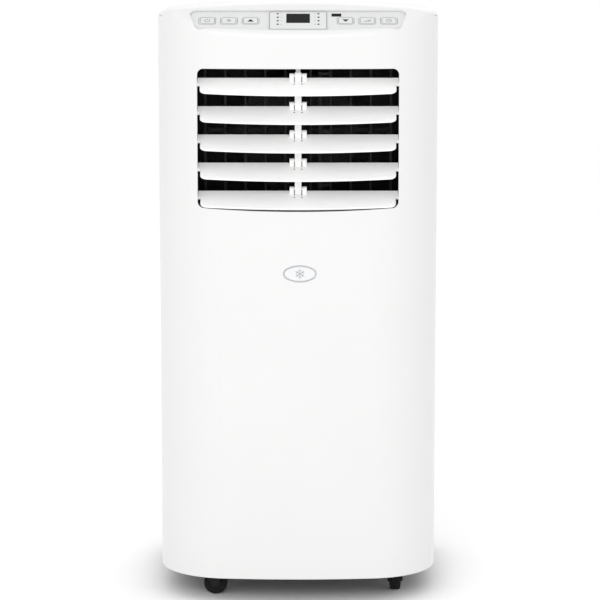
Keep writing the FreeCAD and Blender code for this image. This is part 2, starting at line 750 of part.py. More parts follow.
def slat(number):
    """One horizontal louvre, drawn flat about its pivot line, front edge towards -Y."""
    name = f"slat_{number + 1}"
    end = "(dims.duct_half - dims.slat_end_gap)"
    side = "(dims.duct_half - dims.slat_side_gap)"
    half_thickness = "dims.slat_thickness / 2"
    blade = prism(f"{name}_blade", "XY_Plane", [
        (f"-{side}", "-dims.slat_front", "dims.slat_bulge_radius"),
        (side, "-dims.slat_front"),
        (side, "0"),
        (end, "0"),
        (end, "dims.slat_back"),
        ("dims.notch_half", "dims.slat_back"),
        ("dims.notch_half", "dims.notch_start"),
        ("-dims.notch_half", "dims.notch_start"),
        ("-dims.notch_half", "dims.slat_back"),
        (f"-{end}", "dims.slat_back"),
        (f"-{end}", "0"),
        (f"-{side}", "0"),
    ], f"-{half_thickness}", half_thickness)
    upright = runs_along(2)
    round_edges(blade, f"{name}_corners", "dims.slat_corner",
                lambda edge: upright(edge) and edge.CenterOfMass.y < -1)
    hole_y = "dims.link_reach * cos(dims.link_angle - dims.slat_tilt)"
    hole_z = "dims.link_reach * sin(dims.link_angle - dims.slat_tilt)"
    solids = [blade]
    for side_sign in SIDES:
        inner = "dims.notch_half"
        outer = "(dims.notch_half + dims.ear_width)"
        low, high = (inner, outer) if side_sign > 0 else (f"-{outer}", f"-{inner}")
        shoulder = "(dims.ear_radius - 0.2)"
        solids.append(prism(f"{name}_ear_{side_sign + 1}", "YZ_Plane", [
            ("dims.notch_start + 1", "0"),
            ("dims.slat_back", "0"),
            (f"{hole_y} + {shoulder}", hole_z, "dims.ear_radius"),
            (f"{hole_y} - {shoulder}", hole_z),
        ], low, high))
        tip = "(dims.duct_half + 2.3)"
        low, high = (f"{end} - 3", tip) if side_sign > 0 else (f"-{tip}", f"-{end} + 3")
        solids.append(cylinder(f"{name}_pin_{side_sign + 1}", "X", "dims.slat_pin", low, high, "0", "0"))
    hole = cylinder(f"{name}_link_hole", "X", "dims.link_pin + 0.1", "-20", "20", hole_y, hole_z)
    item = carve(f"{name}_solid", join(f"{name}_body", solids), [hole])
    place(item, ("0", "dims.slat_pivot_y", slat_pivot_height(number)), (1, 0, 0), "dims.slat_tilt")
    sub_part(item, name)


def slat_link_bar():
    pin_y = "(dims.slat_pivot_y + dims.link_reach * cos(dims.link_angle))"
    rise = "dims.link_reach * sin(dims.link_angle)"
    last = int(value("dims.slat_count")) - 1
    bar = box("link_strip", ("-dims.link_half", "dims.link_half"),
              (f"{pin_y} - dims.link_depth / 2", f"{pin_y} + dims.link_depth / 2"),
              (f"{slat_pivot_height(last)} + {rise} - dims.link_tail",
               f"{slat_pivot_height(0)} + {rise} + dims.link_head"))
    pins = [cylinder(f"link_pin_{number}", "X", "dims.link_pin", "-dims.notch_half - 4",
                     "dims.notch_half + 4", pin_y, f"{slat_pivot_height(number)} + {rise}")
            for number in range(last + 1)]
    sub_part(join("slat_link_solid", [bar] + pins), "slat_link_bar")


def vane(number, x):
    """One upright vane, drawn about its own pivot line at full height."""
    name = f"vane_{number + 1}"
    low, high = ("dims.duct_low + dims.vane_end_gap", "dims.duct_high - dims.vane_end_gap")
    blade = box(f"{name}_blade", ("-dims.vane_thickness / 2", "dims.vane_thickness / 2"),
                ("-dims.vane_half_chord", "dims.vane_half_chord"), (low, high))
    pivots = cylinder(f"{name}_pivots", "Z", "dims.vane_pin", "dims.duct_low - 2.3",
                      "dims.duct_high + 2.3", "0", "0")
    tie_low, tie_high = ("dims.tie_height - dims.tie_section / 2", "dims.tie_height + dims.tie_section / 2")
    lug = box(f"{name}_lug", ("-2.2", "2.2"), ("dims.vane_half_chord - 1", "dims.tie_reach + 2.2"),
              (f"{tie_low} - 2.2", f"{tie_low} - 0.3"))
    pin = cylinder(f"{name}_tie_pin", "Z", "dims.tie_pin", f"{tie_low} - 1", f"{tie_high} + 0.5",
                   "0", "dims.tie_reach")
    solids = [blade, pivots, lug, pin]
    if name == "vane_7":
        solids += vane_handle()
    sub_part(place(join(f"{name}_solid", solids), (x, "dims.vane_pivot_y", "0")), name)


def vane_handle():
    """Ladder-shaped finger grip that steers all the vanes."""
    front = "-dims.vane_half_chord"
    levels = ("(dims.duct_low + 26.5)", "dims.tie_height", "(dims.duct_high - 9.5)")
    leg = box("handle_leg", ("-dims.handle_offset - 1.7", "-dims.handle_offset + 1.7"),
              (front, f"{front} + 8"), (f"{levels[0]} - 3", f"{levels[2]} + 2"))
    rungs = [box(f"handle_rung_{number}", ("-dims.handle_offset", "0"), (f"{front} + 2", f"{front} + 6"),
                 (f"{level} - 1.5", f"{level} + 1.5")) for number, level in enumerate(levels)]
    return [leg] + rungs


def vane_tie_bar():
    centre = "(dims.vane_pivot_y + dims.tie_reach)"
    half = "dims.tie_section / 2"
    reach = "(dims.vane_first + 4 * dims.vane_pitch + 3)"
    bar = box("tie_strip", (f"-{reach}", reach), (f"{centre} - {half}", f"{centre} + {half}"),
              (f"dims.tie_height - {half}", f"dims.tie_height + {half}"))
    holes = [cylinder(f"tie_hole_{number}", "Z", "dims.tie_pin + 0.1", f"dims.tie_height - {half} - 1",
                      f"dims.tie_height + {half} + 1", x, centre)
             for number, x in enumerate(vane_positions())]
    sub_part(carve("vane_tie_solid", bar, holes), "vane_tie_bar")


# ---------------------------------------------------------------- casters

CASTERS = {
    "front_left": ("-dims.caster_x", "dims.caster_front"),
    "front_right": ("dims.caster_x", "dims.caster_front"),
    "rear_left": ("-dims.caster_x", "dims.caster_back"),
    "rear_right": ("dims.caster_x", "dims.caster_back"),
}
CASTER_TURN = {"front_left": "-90", "front_right": "0", "rear_left": "0", "rear_right": "0"}


def caster(name, x, y):
    """Swivel fork and wheel, drawn about the stem axis with the wheel trailing towards +Y."""
    crown = box(f"crown_{name}", ("-dims.cheek_outer", "dims.cheek_outer"),
                ("-6", "dims.caster_trail + 3.5"), ("dims.fork_crown", "dims.fork_crown_top"))
    collar = cylinder(f"collar_{name}", "Z", "7", "dims.fork_crown", "dims.pan_bottom - 0.2", "0", "0")
    stem = cylinder(f"stem_{name}", "Z", "dims.stem_radius", "dims.fork_crown", "dims.pan_bottom + 16",
                    "0", "0")
    axle = cylinder(f"axle_{name}", "X", "dims.axle_radius", "-dims.cheek_outer - 0.6",
                    "dims.cheek_outer + 0.6", "dims.caster_trail", "dims.wheel_radius")
    cheeks = []
    for side in SIDES:
        low, high = ("dims.cheek_inner", "dims.cheek_outer")
        span = (low, high) if side > 0 else (f"-{high}", f"-{low}")
        cheeks.append(prism(f"cheek_{name}_{side + 1}", "YZ_Plane", [
            ("2", "dims.fork_crown + 1"),
            ("dims.caster_trail - 4.6", "dims.wheel_radius - 1.5", "5"),
            ("dims.caster_trail + 4.6", "dims.wheel_radius - 1.5"),
            ("dims.caster_trail + 3.5", "dims.fork_crown + 1"),
        ], *span))
    fork = join(f"fork_{name}", [crown, collar, stem, axle] + cheeks)
    place(fork, (x, y, "0"), (0, 0, 1), CASTER_TURN[name])
    sub_part(fork, f"caster_fork_{name}")
    half = "dims.wheel_width / 2"
    bore = "(dims.axle_radius + dims.shaft_clearance)"
    tyre = turned(f"wheel_{name}", [
        (bore, f"-{half}"),
        ("dims.wheel_radius - 2", f"-{half}", "2"),
        ("dims.wheel_radius", f"-{half} + 2"),
        ("dims.wheel_radius", f"{half} - 2", "2"),
        ("dims.wheel_radius - 2", half),
        (bore, half),
    ])
    round_wheel = join(f"wheel_turned_{name}", [tyre, cylinder(
        f"wheel_hub_{name}", "Z", "5", f"-{half} - 0.3", f"{half} + 0.3", "0", "0")])
    bored = carve(f"wheel_bored_{name}", round_wheel, [cylinder(
        f"wheel_bore_{name}", "Z", bore, f"-{half} - 1", f"{half} + 1", "0", "0")])
    laid = group(f"wheel_laid_{name}", [place(bored, ("0", "dims.caster_trail", "dims.wheel_radius"),
                                              (0, 1, 0), "90")])
    place(laid, (x, y, "0"), (0, 0, 1), CASTER_TURN[name])
    sub_part(laid, f"caster_wheel_{name}")


# ---------------------------------------------------------------- rear panel pieces

def intake_grille():
    left, right = ("-dims.intake_half + dims.grille_gap", "dims.intake_half - dims.grille_gap")
    hinge_height = "(dims.intake_low + dims.grille_gap + dims.hinge_barrel)"
    plate = box("grille_plate", (left, right), ("dims.grille_front", "dims.grille_back"),
                (hinge_height, "dims.intake_high - dims.grille_gap"))
    barrel = cylinder("grille_barrel", "X", "dims.hinge_barrel", left, right, "dims.hinge_y", hinge_height)
    pin = cylinder("grille_pin", "X", "dims.hinge_pin", "-dims.intake_half - 4", "dims.intake_half + 4",
                   "dims.hinge_y", hinge_height)
    tools = []
    for number in range(int(value("dims.slot_count"))):
        low = f"dims.intake_low + dims.slot_low + dims.slot_pitch * {number}"
        for column in (-1, 0, 1):
            centre = f"{column} * dims.slot_column"
            tools.append(box(f"grille_slot_{number}_{column + 1}",
                             (f"{centre} - dims.slot_half", f"{centre} + dims.slot_half"),
                             ("dims.grille_front - 1", "dims.grille_back + 1"),
                             (low, f"{low} + dims.slot_height")))
    sub_part(carve("grille_solid", join("grille_body", [plate, barrel, pin]), tools), "intake_grille")


def air_filter():
    y_range = ("dims.grille_front - 6.5", "dims.grille_front")
    frame = box("filter_frame", ("-107", "107"), y_range, ("dims.intake_low + 9", "dims.intake_high - 6"))
    cells = []
    for column in range(4):
        for row in range(4):
            x = f"-103 + 51.9 * {column}"
            z = f"dims.intake_low + 13 + 47.3 * {row}"
            cells.append(box(f"filter_cell_{column}_{row}", (x, f"{x} + 50"),
                             ("dims.grille_front - 7", "dims.grille_front + 1"), (z, f"{z} + 45.4")))
    mesh = box("filter_mesh", ("-104", "104"), ("dims.grille_front - 3.6", "dims.grille_front - 2.8"),
               ("dims.intake_low + 12", "dims.intake_high - 9"))
    sub_part(join("filter_solid", [carve("filter_open", frame, cells), mesh]), "air_filter")


def exhaust_collar():
    bore = "dims.exhaust_bore"
    outer = "(dims.exhaust_bore + dims.exhaust_wall)"
    start = "dims.rear_reach - 11"
    tube = turned("collar_tube", [
        (bore, start),
        (outer, start),
        (outer, "dims.rear_reach + 0.3"),
        ("dims.exhaust_flange", "dims.rear_reach + 0.3"),
        ("dims.exhaust_flange", "dims.rear_reach + 3"),
        (outer, "dims.rear_reach + 3"),
        (outer, "dims.exhaust_end"),
        (bore, "dims.exhaust_end"),
    ])
    place(tube, ("0", "0", "dims.exhaust_height"), (-1, 0, 0), "90")
    sub_part(tube, "exhaust_collar")


def drain_plug():
    centre = ("dims.drain_x", "dims.drain_height")
    shank = cylinder("plug_shank", "Y", "6", "dims.rear_reach - 9", "dims.rear_reach + 1", *centre)
    head = cylinder("plug_head", "Y", "9.5", "dims.rear_reach + 0.3", "dims.rear_reach + 3", *centre)
    grip = box("plug_grip", ("dims.drain_x - 1.5", "dims.drain_x + 1.5"),
               ("dims.rear_reach + 2", "dims.rear_reach + 9"),
               ("dims.drain_height - 6", "dims.drain_height + 6"))
    sub_part(join("plug_solid", [shank, head, grip]), "drain_plug")


def cord_gland():
    centre = ("dims.cord_x", "dims.cord_height")
    shank = cylinder("gland_shank", "Y", "7.9", "dims.rear_reach - 3", "dims.rear_reach + 2", *centre)
    head = cylinder("gland_head", "Y", "11", "dims.rear_reach + 0.3", "dims.rear_reach + 5", *centre)
    bore = cylinder("gland_bore", "Y", "3.8", "dims.rear_reach - 9", "dims.rear_reach + 9", *centre)
    sub_part(carve("gland_solid", join("gland_body", [shank, head]), [bore]), "cord_gland")


# ---------------------------------------------------------------- inside the case

def compressor():
    radius = "dims.compressor_radius"
    base, top = ("dims.compressor_base", "dims.compressor_top")
    shell = turned("compressor_shell", [
        ("0", base),
        (f"{radius} - 14", base, "14"),
        (radius, f"{base} + 14"),
        (radius, f"{top} - 24", "24"),
        (f"{radius} - 24", top),
        ("0", top),
    ])
    place(shell, ("dims.compressor_x", "dims.compressor_y", "0"))
    plate = box("compressor_plate", ("dims.compressor_x - 60", "dims.compressor_x + 60"),
                ("dims.compressor_y - 42", "dims.compressor_y + 42"), (f"{base} - 2", f"{base} + 1.5"))
    feet = [cylinder(f"compressor_foot_{column}_{row}", "Z", "dims.foot_radius",
                     "dims.pan_bottom + dims.pan_floor", f"{base} - 2",
                     f"dims.compressor_x + {column} * dims.foot_x",
                     f"dims.compressor_y + {row} * dims.foot_y")
            for column in SIDES for row in SIDES]
    bottle = cylinder("accumulator", "Z", "17", f"{base} + 40", f"{top} - 40",
                      "dims.compressor_x + 66", "dims.compressor_y")
    strap = box("accumulator_strap", ("dims.compressor_x + 40", "dims.compressor_x + 60"),
                ("dims.compressor_y - 6", "dims.compressor_y + 6"), (f"{base} + 80", f"{base} + 86"))
    body = join("compressor_body", [shell, plate, bottle, strap])
    sub_part(group("compressor_set", [body] + feet), "compressor")


def coil(name, x_half, y_range, z_range, rows):
    """Finned heat exchanger: fin pack between end plates, with hairpin tubes at both ends."""
    pack = box(f"{name}_fins", (f"-{x_half}", x_half), y_range, z_range)
    plates = [box(f"{name}_plate_{side + 1}", (f"{side} * {x_half} - 1", f"{side} * {x_half} + 1"),
                  (f"{y_range[0]} - 2", f"{y_range[1]} + 2"), (f"{z_range[0]} - 3", f"{z_range[1]} + 3"))
              for side in SIDES]
    tubes = []
    middle = f"({y_range[0]} + {y_range[1]}) / 2"
    for row in range(rows):
        level = f"{z_range[0]} + ({z_range[1]} - {z_range[0]}) * {row + 0.5} / {rows}"
        tubes.append(cylinder(f"{name}_tube_{row}", "X", "4", f"-{x_half} - 6", f"{x_half} + 6",
                              middle, level))
    sub_part(join(f"{name}_solid", [pack] + plates + tubes), name)


def blower_wheel(name, radius, width, height, start):
    """Drum fan: back plate with hub, a ring of blades and a front ring, turning about Y."""
    shaft_hole = "(dims.shaft_radius + dims.shaft_clearance)"
    body = turned(f"{name}_drum", [
        (shaft_hole, "0"),
        (radius, "0"),
        (radius, "2"),
        ("12", "2"),
        ("12", "16"),
        (shaft_hole, "16"),
    ])
    blade = add_sketch(body, f"{name}_blade", "XY_Plane", "1")
    draw(blade, rectangle(f"{radius} - 14", f"{radius} - 2", "-1", "1"))
    blade_pad = body.newObject("PartDesign::Pad", f"{name}_blade_pad")
    blade_pad.Profile = blade
    bind(blade_pad, "Length", f"{width} - 2")
    doc.recompute()
    pattern = body.newObject("PartDesign::PolarPattern", f"{name}_blades")
    pattern.Originals = [blade_pad]
    axis = [feature for feature in body.Origin.OriginFeatures if feature.Role == "Z_Axis"][0]
    pattern.Axis = (axis, [""])
    pattern.Angle = 360
    pattern.Occurrences = 24
    body.Tip = pattern
    ring = add_sketch(body, f"{name}_ring", "XZ_Plane", "0")
    draw(ring, rectangle(f"{radius} - 14", radius, f"{width} - 2", width))
    ring_turn = body.newObject("PartDesign::Revolution", f"{name}_ring_turn")
    ring_turn.Profile = ring
    ring_turn.ReferenceAxis = (ring, ["V_Axis"])
    ring_turn.Angle = 360
    body.Tip = ring_turn
    place(body, ("0", start, height), (-1, 0, 0), "90")
    sub_part(body, name)


def fan_motor(name, radius, y_range, shaft_end, height):
    can = cylinder(f"{name}_can", "Y", radius, *y_range, "0", height)
    low, high = (y_range[0], shaft_end) if value(shaft_end) > value(y_range[0]) else (shaft_end, y_range[1])
    shaft = cylinder(f"{name}_shaft", "Y", "dims.shaft_radius", low, high, "0", height)
    sub_part(join(f"{name}_solid", [can, shaft]), name)


def fan_housing(name, x_half, y_range, z_range, openings):
    """Box-shaped fan housing with 2 mm walls and the given openings cut through."""
    outside = box(f"{name}_outside", (f"-{x_half}", x_half), y_range, z_range)
    inside = box(f"{name}_inside", (f"-{x_half} + 2", f"{x_half} - 2"),
                 (f"{y_range[0]} + 2", f"{y_range[1]} - 2"), (f"{z_range[0]} + 2", f"{z_range[1]} - 2"))
    sub_part(carve(f"{name}_solid", carve(f"{name}_hollow", outside, [inside]), openings), name)


def fans():
    upper = "dims.upper_fan_height"
    lower = "dims.exhaust_height"
    fan_housing("upper_fan_housing", "128", ("dims.duct_back + 0.5", "42"), ("440", "655"), [
        box("upper_outlet", ("-120", "120"), ("dims.duct_back - 1", "-40"), ("467", "629")),
        cylinder("upper_inlet", "Y", "60", "30", "50", "0", upper)])
    blower_wheel("upper_blower", "dims.upper_fan_radius", "50", upper, "-34")
    fan_motor("upper_fan_motor", "36", ("45", "84"), "-36", upper)
    fan_housing("lower_fan_housing", "88", ("34", "124"), ("256", "421"), [
        cylinder("lower_outlet", "Y", "dims.exhaust_bore", "115", "130", "0", lower),
        cylinder("lower_inlet", "Y", "58", "30", "40", "0", lower)])
    blower_wheel("lower_blower", "dims.lower_fan_radius", "50", lower, "60")
    fan_motor("lower_fan_motor", "36", ("-20", "31"), "80", lower)


def refrigerant_pipes():
    """Copper lines swept along routes between compressor and coils."""
    x = value("dims.compressor_x")
    y = value("dims.compressor_y")
    top = value("dims.compressor_top")
    deck = value("dims.deck_level")
    routes = [
        [(x, y, top + 1), (x, y, top + 40), (-140, y, top + 40), (-140, 108, top + 40), (-140, 108, 200)],
        [(x + 66, y, top - 39), (x + 66, y, top + 60), (140, y, top + 60), (140, y, deck - 20),
         (140, 105, deck - 20)],
    ]
    pipes = []
    for route in routes:
        points = [FreeCAD.Vector(*point) for point in route]
        path = Part.makePolygon(points)
        start = Part.Wire(Part.makeCircle(4, points[0], points[1] - points[0]))
        pipes.append(path.makePipeShell([start], True, False, 1))
    item = doc.addObject("Part::Feature", "pipe_set")
    item.Shape = Part.makeCompound(pipes)
    item.Placement = FreeCAD.Placement()
    sub_part(item, "refrigerant_pipes")


# ---------------------------------------------------------------- assembly

def build():
    front_cover()
    rear_cover()
    top_cover()
    case_screws()
    base_pan()
    middle_deck()
    badge()
    control_fascia()
    display_parts()
    keys()
    control_board()
    outlet_frame()
    for number in range(int(value("dims.slat_count"))):
        slat(number)
    slat_link_bar()
    for number, x in enumerate(vane_positions()):
        vane(number, x)
    vane_tie_bar()
    for name, (x, y) in CASTERS.items():
        caster(name, x, y)
    intake_grille()
    air_filter()
    exhaust_collar()
    drain_plug()
    cord_gland()
    compressor()
    coil("evaporator_coil", "115", ("92", "118"), ("447", "652"), 8)
    coil("condenser_coil", "125", ("94", "120"), ("72", "245"), 7)
    fans()
    refrigerant_pipes()
    doc.recompute()


def export():
    """Check every object and write each sub-part to its own STEP file."""
    for item in doc.Objects:
        if "Invalid" in item.State or "Error" in item.State:
            raise RuntimeError(f"{item.Name}: {item.State}")
    os.makedirs("parts", exist_ok=True)
    for item in SUB_PARTS:
        if item.Shape.isNull() or not item.Shape.isValid():
            raise RuntimeError(f"{item.Label} has no valid shape")
        item.Shape.exportStep(f"parts/{item.Label}.step")


build()
export()
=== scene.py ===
import json
import math

import bmesh
import bpy
from mathutils import Matrix, Vector


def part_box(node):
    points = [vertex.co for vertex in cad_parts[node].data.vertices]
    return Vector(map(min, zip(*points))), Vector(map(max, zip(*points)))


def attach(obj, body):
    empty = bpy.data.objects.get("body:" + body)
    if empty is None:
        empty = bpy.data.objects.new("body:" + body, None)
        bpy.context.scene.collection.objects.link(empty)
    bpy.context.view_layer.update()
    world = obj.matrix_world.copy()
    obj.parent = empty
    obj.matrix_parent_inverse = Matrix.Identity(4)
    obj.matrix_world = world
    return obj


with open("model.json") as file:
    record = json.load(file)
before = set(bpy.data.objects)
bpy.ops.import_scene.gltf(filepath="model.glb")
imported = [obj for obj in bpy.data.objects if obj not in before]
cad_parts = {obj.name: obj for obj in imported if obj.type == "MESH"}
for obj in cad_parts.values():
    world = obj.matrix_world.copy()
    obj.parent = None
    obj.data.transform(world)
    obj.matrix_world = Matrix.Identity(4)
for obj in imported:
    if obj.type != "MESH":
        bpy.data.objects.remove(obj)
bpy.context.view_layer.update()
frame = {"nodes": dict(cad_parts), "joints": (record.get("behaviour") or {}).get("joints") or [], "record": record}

# Looks of the portable air conditioner. Metres, +Z up, the front faces -Y.

MM = 0.001

# control panel: its slope, the printed border of a key, and the lamp ticks (millimetres, degrees)
PANEL_ORIGIN = (0, -0.150, 0.6715)
PANEL_SLOPE = 32
KEY_BORDER = (8.1, 6.1, 2.2)
DIGIT_CENTRES = (-5.6, 5.6)
LAMP_ROW = 20.6
LAMP_PITCH = 7.2
TICK_START = 18.2
TICK_LENGTH = 2.4
# each segment of a digit: its middle (u, v) and whether it is upright
SEGMENTS = ((0, 6, False), (0, 0, False), (0, -6, False),
            (-3.2, 3, True), (3.2, 3, True), (-3.2, -3, True), (3.2, -3, True))
# louvre slats, the painted shade in their dimples, and caster wheels
SLAT_TILT = 28
SLAT_COUNT = 5
DIMPLE_SHADE_SPREAD = 4.4
DIMPLE_SHADE_RADIUS = 0.95
CASTERS = ("front_left", "front_right", "rear_left", "rear_right")
HUB_RIM = 9.4
SPOKE_COUNT = 6
# made for the rear cover, so finished like the case
REAR_WHITE = ("intake_grille", "exhaust_collar")


# ---------------------------------------------------------------- camera, floor and light

def aim(item, target):
    """Point a camera or a lamp at a target."""
    item.rotation_euler = (Vector(target) - item.location).to_track_quat("-Z", "Y").to_euler()


def make_camera():
    data = bpy.data.cameras.new("camera")
    data.lens = 146.1
    camera = bpy.data.objects.new("camera", data)
    bpy.context.scene.collection.objects.link(camera)
    camera.location = (0.0022, -2.95, 0.774)
    camera.rotation_euler = (math.radians(90 - 8.35), 0, 0)
    bpy.context.scene.camera = camera


def make_lamp(name, location, target, size, power):
    data = bpy.data.lights.new(name, "AREA")
    data.shape = "RECTANGLE"
    data.size, data.size_y = size
    data.energy = power
    lamp = bpy.data.objects.new(name, data)
    bpy.context.scene.collection.objects.link(lamp)
    lamp.location = location
    aim(lamp, target)


def make_studio():
    """White surroundings, darker at both sides and overhead so that edges read, and soft lamps."""
    world = bpy.data.worlds.new("studio")
    world.use_nodes = True
    nodes, links = world.node_tree.nodes, world.node_tree.links
    direction = nodes.new("ShaderNodeTexCoord")
    parts = nodes.new("ShaderNodeSeparateXYZ")
    links.new(direction.outputs["Generated"], parts.inputs["Vector"])
    sideways = nodes.new("ShaderNodeMath")
    sideways.operation = "ABSOLUTE"
    links.new(parts.outputs["X"], sideways.inputs[0])
    level = nodes.new("ShaderNodeMapRange")
    level.inputs["From Min"].default_value = 0.45
    level.inputs["From Max"].default_value = 1.0
    level.inputs["To Min"].default_value = 1.15
    level.inputs["To Max"].default_value = 0.9
    links.new(sideways.outputs["Value"], level.inputs["Value"])
    overhead = nodes.new("ShaderNodeMath")
    overhead.operation = "MULTIPLY_ADD"
    overhead.inputs[1].default_value = -0.13
    links.new(parts.outputs["Z"], overhead.inputs[0])
    links.new(level.outputs["Result"], overhead.inputs[2])
    sky = nodes["Background"]
    sky.inputs["Color"].default_value = (1, 1, 1, 1)
    links.new(overhead.outputs["Value"], sky.inputs["Strength"])
    bpy.context.scene.world = world
    bpy.context.scene.view_settings.view_transform = "Standard"
    make_lamp("softbox_front", (-0.4, -2.7, 1.55), (0, 0, 0.5), (1.8, 1.0), 17)
    make_lamp("softbox_back", (0.6, 2.6, 2.2), (0, 0, 0.45), (2.0, 1.4), 5)
    bm = bmesh.new()
    bmesh.ops.create_circle(bm, cap_ends=True, segments=96, radius=60)
    mesh = bpy.data.meshes.new("floor")
    bm.to_mesh(mesh)
    bm.free()
    floor = bpy.data.objects.new("floor", mesh)
    bpy.context.scene.collection.objects.link(floor)
    mesh.materials.append(make_finish("floor_paper", (0.985, 0.985, 0.985), tone_share=0.005,
                                      tone_size=0.5, rough=(0.75, 0.9), grain=0.004, relief=0.00002))


# ---------------------------------------------------------------- materials

class Graph:
    """Short names for building one material's nodes."""

    def __init__(self, name):
        self.material = bpy.data.materials.new(name)
        self.material.use_nodes = True
        self.nodes = self.material.node_tree.nodes
        self.links = self.material.node_tree.links
        self.shader = self.nodes["Principled BSDF"]
        self.place = self.nodes.new("ShaderNodeTexCoord").outputs["Object"]

    def link(self, source, target):
        self.links.new(source, target)

    def stretched(self, scale):
        """Object coordinates stretched along the axes."""
        node = self.nodes.new("ShaderNodeMapping")
        node.inputs["Scale"].default_value = scale
        self.link(self.place, node.inputs["Vector"])
        return node.outputs["Vector"]

    def noise(self, size, detail=3.0, place=None):
        """Noise whose features are about size metres across, from 0 to 1."""
        node = self.nodes.new("ShaderNodeTexNoise")
        node.inputs["Scale"].default_value = 1 / size
        node.inputs["Detail"].default_value = detail
        self.link(place or self.place, node.inputs["Vector"])
        return node.outputs["Fac"]

    def wave(self, pitch, direction, place=None):
        """Even lines across one axis, pitch metres apart."""
        node = self.nodes.new("ShaderNodeTexWave")
        node.bands_direction = direction
        node.inputs["Scale"].default_value = math.pi / (10 * pitch)
        self.link(place or self.place, node.inputs["Vector"])
        return node.outputs["Fac"]

    def spread(self, source, low, high, start=0.3, end=0.7):
        """A texture's middle range carried over to low..high."""
        node = self.nodes.new("ShaderNodeMapRange")
        node.inputs["From Min"].default_value = start
        node.inputs["From Max"].default_value = end
        node.inputs["To Min"].default_value = low
        node.inputs["To Max"].default_value = high
        self.link(source, node.inputs["Value"])
        return node.outputs["Result"]

    def sum(self, operation, first, second):
        """Math node on two sources, or on a source and a number."""
        node = self.nodes.new("ShaderNodeMath")
        node.operation = operation
        for socket, item in zip(node.inputs, (first, second)):
            if isinstance(item, (int, float)):
                socket.default_value = item
            else:
                self.link(item, socket)
        return node.outputs["Value"]

    def blend(self, share, first, second):
        """Colour mix; each side is a colour or a source."""
        node = self.nodes.new("ShaderNodeMix")
        node.data_type = "RGBA"
        self.link(share, node.inputs["Factor"])
        for socket, item in zip((node.inputs[6], node.inputs[7]), (first, second)):
            if isinstance(item, tuple):
                socket.default_value = (*item, 1)
            else:
                self.link(item, socket)
        return node.outputs[2]

    def edges(self, radius):
        """Normal rounded over the edges, and a mask that is 1 on them."""
        bevel = self.nodes.new("ShaderNodeBevel")
        bevel.samples = 6
        bevel.inputs["Radius"].default_value = radius
        plain = self.nodes.new("ShaderNodeNewGeometry")
        facing = self.nodes.new("ShaderNodeVectorMath")
        facing.operation = "DOT_PRODUCT"
        self.link(bevel.outputs["Normal"], facing.inputs[0])
        self.link(plain.outputs["Normal"], facing.inputs[1])
        mask = self.spread(facing.outputs["Value"], 1.0, 0.0, 0.86, 0.99)
        return bevel.outputs["Normal"], mask

    def bump(self, height, relief, normal=None):
        node = self.nodes.new("ShaderNodeBump")
        node.inputs["Strength"].default_value = 1.0
        node.inputs["Distance"].default_value = relief
        self.link(height, node.inputs["Height"])
        if normal:
            self.link(normal, node.inputs["Normal"])
        return node.outputs["Normal"]


def shade(colour, factor):
    return tuple(min(1.0, channel * factor) for channel in colour)


def make_finish(name, colour, tone_share=0.03, tone_size=0.09, rough=(0.3, 0.4), grain=0.0009,
                relief=0.00002, edge_wear_and_highlight=None, metal=0.0, coat=0.0, mirror=0.5, rounding=0.0005,
                brushed=None, lines=None, weave=None):
    """Procedural surface: two close tones, uneven gloss, fine grain, and edges in a second colour:
    wear from use on most finishes, a lighter painted highlight on the white case and the dark
    plastic, and darker edges on the grey panel.

    mirror is the strength of the gloss and rounding softens the edges. brushed stretches the
    grain along an axis, lines cuts even grooves across one (pitch, axis, depth) and paints
    shade into them, and weave crosses two sets of threads (pitch, depth) with painted shade
    in the gaps between them."""
    graph = Graph(name)
    shader = graph.shader
    tone = graph.spread(graph.noise(tone_size, 4.0), 0.0, 1.0)
    base = graph.blend(tone, shade(colour, 1 - tone_share), shade(colour, 1 + tone_share))
    speck = graph.spread(graph.noise(0.0021, 2.0), 0.0, 1.0, 0.62, 0.75)
    base = graph.blend(speck, base, shade(colour, 1 - 2.5 * tone_share))
    normal, edge = graph.edges(rounding)
    grain_place = graph.stretched(brushed) if brushed else None
    height = graph.noise(grain, 3.0, grain_place)
    gloss = graph.spread(graph.noise(0.018, 5.0), *rough)
    if lines:
        pitch, axis, depth = lines
        groove = graph.wave(pitch, axis)
        # painted shade: the grooves are coloured darker
        base = graph.blend(graph.spread(groove, 1.0, 0.0, 0.2, 0.7), base, shade(colour, 0.25))
        normal = graph.bump(groove, depth, normal)
    if weave:
        pitch, depth = weave
        threads = graph.sum("MAXIMUM", graph.wave(pitch, "X"), graph.wave(pitch, "Z"))
        # painted shade: the gaps between the threads are coloured darker
        base = graph.blend(graph.spread(threads, 1.0, 0.0, 0.45, 0.8), base, shade(colour, 0.2))
        normal = graph.bump(threads, depth, normal)
    # edges in a second colour: wear from use on most finishes, a lighter painted highlight on the white case and
    # the dark plastic
    if edge_wear_and_highlight:
        edge_wear_and_highlight_mask = graph.sum("MULTIPLY", edge, graph.spread(graph.noise(0.012, 4.0), 0.1, 0.9))
        base = graph.blend(edge_wear_and_highlight_mask, base, edge_wear_and_highlight)
    graph.link(base, shader.inputs["Base Color"])
    graph.link(gloss, shader.inputs["Roughness"])
    graph.link(graph.bump(height, relief, normal), shader.inputs["Normal"])
    shader.inputs["Metallic"].default_value = metal
    shader.inputs["Coat Weight"].default_value = coat
    shader.inputs["Coat Roughness"].default_value = 0.12
    shader.inputs["Specular IOR Level"].default_value = mirror
    return graph.material


